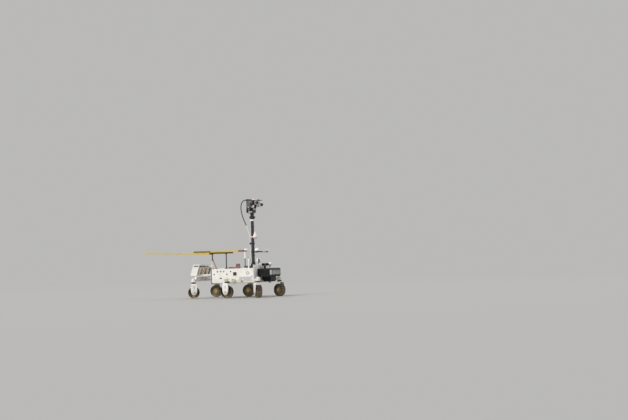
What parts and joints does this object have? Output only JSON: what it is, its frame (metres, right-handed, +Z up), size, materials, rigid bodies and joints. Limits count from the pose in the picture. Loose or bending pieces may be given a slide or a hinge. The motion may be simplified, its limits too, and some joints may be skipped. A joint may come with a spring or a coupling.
{
  "type": "planetary rover prototype",
  "caption": "Planetary rover prototype with steered wheels on bogies, a box body, a nose drill box, a rear instrument cage, a yellow boom and a tall mast with a panning camera bar.",
  "frame": {"origin": "middle of the outline's box, on the floor", "axes": "+X forward, +Y to the rover's left, +Z up"},
  "size_m": [2.789, 1.2335, 1.993],
  "materials": {
    "white_panel": "matt white paint",
    "cream_beam": "satin cream paint",
    "bulkhead_grey": "satin light grey paint",
    "leg_white": "matt white paint",
    "motor_white": "satin white paint",
    "wheel_brown": "dark brown anodised metal, dusty",
    "hub_bronze": "gold-bronze passivated metal",
    "black_box": "satin black paint",
    "pale_plate": "matt grey-green paint",
    "boom_yellow": "satin yellow paint",
    "post_dark": "black anodised",
    "mast_black": "carbon tube, satin",
    "antenna_white": "matt white plastic",
    "board_cream": "cream board",
    "lid_dark": "dark grey paint",
    "rail_red": "satin red paint",
    "cable_sleeve": "braided cable sleeve, matt"
  },
  "bodies": {
    "rover": {"chassis_box": "white_panel", "deck_plate": "white_panel", "side_panel_right": "white_panel", "side_panel_left": "white_panel", "bogie_right": "cream_beam", "bogie_left": "cream_beam", "bogie_rear": "cream_beam", "steer_motors": "motor_white", "rear_pivot_tube": "cream_beam", "rear_cover": "black_box", "front_bulkhead": "bulkhead_grey", "drill_box": "black_box", "drill_lid": "black_box", "drill_chuck": "black_box", "drill_face_plate": "pale_plate", "cage_floor": "white_panel", "cage_ends": "white_panel", "cage_back": "white_panel", "cage_lid": "lid_dark", "cage_boards": "board_cream", "boom_upper": "boom_yellow", "boom_lower": "boom_yellow", "boom_posts": "post_dark", "mast_foot": "mast_black", "mast_tube": "mast_black", "mast_pan_base": "mast_black", "mast_fittings": "antenna_white", "antenna_crossbar": "post_dark", "antennas": "antenna_white", "deck_boxes": "lid_dark", "antenna_pole": "antenna_white", "deck_rail": "rail_red", "front_camera": "black_box", "cable_holders": "mast_black", "mast_cable": "cable_sleeve", "head_cable": "cable_sleeve"},
    "leg_front_right": {"steer_leg_front_right": "leg_white"},
    "wheel_front_right": {"wheel_ring_front_right": "wheel_brown", "wheel_hub_front_right": "hub_bronze"},
    "leg_front_left": {"steer_leg_front_left": "leg_white"},
    "wheel_front_left": {"wheel_ring_front_left": "wheel_brown", "wheel_hub_front_left": "hub_bronze"},
    "leg_mid_right": {"steer_leg_mid_right": "leg_white"},
    "wheel_mid_right": {"wheel_ring_mid_right": "wheel_brown", "wheel_hub_mid_right": "hub_bronze"},
    "leg_mid_left": {"steer_leg_mid_left": "leg_white"},
    "wheel_mid_left": {"wheel_ring_mid_left": "wheel_brown", "wheel_hub_mid_left": "hub_bronze"},
    "leg_rear_right": {"steer_leg_rear_right": "leg_white"},
    "wheel_rear_right": {"wheel_ring_rear_right": "wheel_brown", "wheel_hub_rear_right": "hub_bronze"},
    "leg_rear_left": {"steer_leg_rear_left": "leg_white"},
    "wheel_rear_left": {"wheel_ring_rear_left": "wheel_brown", "wheel_hub_rear_left": "hub_bronze"},
    "pan_head": {"pan_unit": "mast_black", "cable_guide": "mast_black"},
    "tilt_head": {"tilt_yoke": "mast_black", "camera_bar": "mast_black", "camera_pods": "antenna_white", "camera_center": "antenna_white"}
  },
  "joints": [
    {"name": "steer_front_right", "type": "hinge", "parent": "rover", "child": "leg_front_right", "pos_m": [1.257, -0.5, 0.34], "axis": [0, 0, 1], "range_deg": [-20, 120]},
    {"name": "roll_front_right", "type": "hinge", "parent": "leg_front_right", "child": "wheel_front_right", "pos_m": [1.257, -0.5, 0.12632], "axis": [0.766, 0.6428, 0], "continuous": true},
    {"name": "steer_front_left", "type": "hinge", "parent": "rover", "child": "leg_front_left", "pos_m": [1.257, 0.5, 0.34], "axis": [0, 0, 1], "range_deg": [-46, 94]},
    {"name": "roll_front_left", "type": "hinge", "parent": "leg_front_left", "child": "wheel_front_left", "pos_m": [1.257, 0.5, 0.12632], "axis": [0.4067, 0.9135, 0], "continuous": true},
    {"name": "steer_mid_right", "type": "hinge", "parent": "rover", "child": "leg_mid_right", "pos_m": [0.557, -0.5, 0.34], "axis": [0, 0, 1], "range_deg": [-70, 70]},
    {"name": "roll_mid_right", "type": "hinge", "parent": "leg_mid_right", "child": "wheel_mid_right", "pos_m": [0.557, -0.5, 0.12632], "axis": [0, 1, 0], "continuous": true},
    {"name": "steer_mid_left", "type": "hinge", "parent": "rover", "child": "leg_mid_left", "pos_m": [0.557, 0.5, 0.34], "axis": [0, 0, 1], "range_deg": [-70, 70]},
    {"name": "roll_mid_left", "type": "hinge", "parent": "leg_mid_left", "child": "wheel_mid_left", "pos_m": [0.557, 0.5, 0.12632], "axis": [0, 1, 0], "continuous": true},
    {"name": "steer_rear_right", "type": "hinge", "parent": "rover", "child": "leg_rear_right", "pos_m": [-0.201, -0.5, 0.34], "axis": [0, 0, 1], "range_deg": [-102, 38]},
    {"name": "roll_rear_right", "type": "hinge", "parent": "leg_rear_right", "child": "wheel_rear_right", "pos_m": [-0.201, -0.5, 0.12632], "axis": [-0.5299, 0.848, 0], "continuous": true},
    {"name": "steer_rear_left", "type": "hinge", "parent": "rover", "child": "leg_rear_left", "pos_m": [-0.201, 0.5, 0.34], "axis": [0, 0, 1], "range_deg": [-88, 52]},
    {"name": "roll_rear_left", "type": "hinge", "parent": "leg_rear_left", "child": "wheel_rear_left", "pos_m": [-0.201, 0.5, 0.12632], "axis": [-0.309, 0.9511, 0], "continuous": true},
    {"name": "mast_pan", "type": "hinge", "parent": "rover", "child": "pan_head", "pos_m": [0.919, 0, 1.71], "axis": [0, 0, 1], "range_deg": [-75, 105], "deforming": ["head_cable"]},
    {"name": "head_tilt", "type": "hinge", "parent": "pan_head", "child": "tilt_head", "pos_m": [0.919, 0, 1.775], "axis": [0.2588, 0.9659, 0], "range_deg": [-30, 45]}
  ]
}
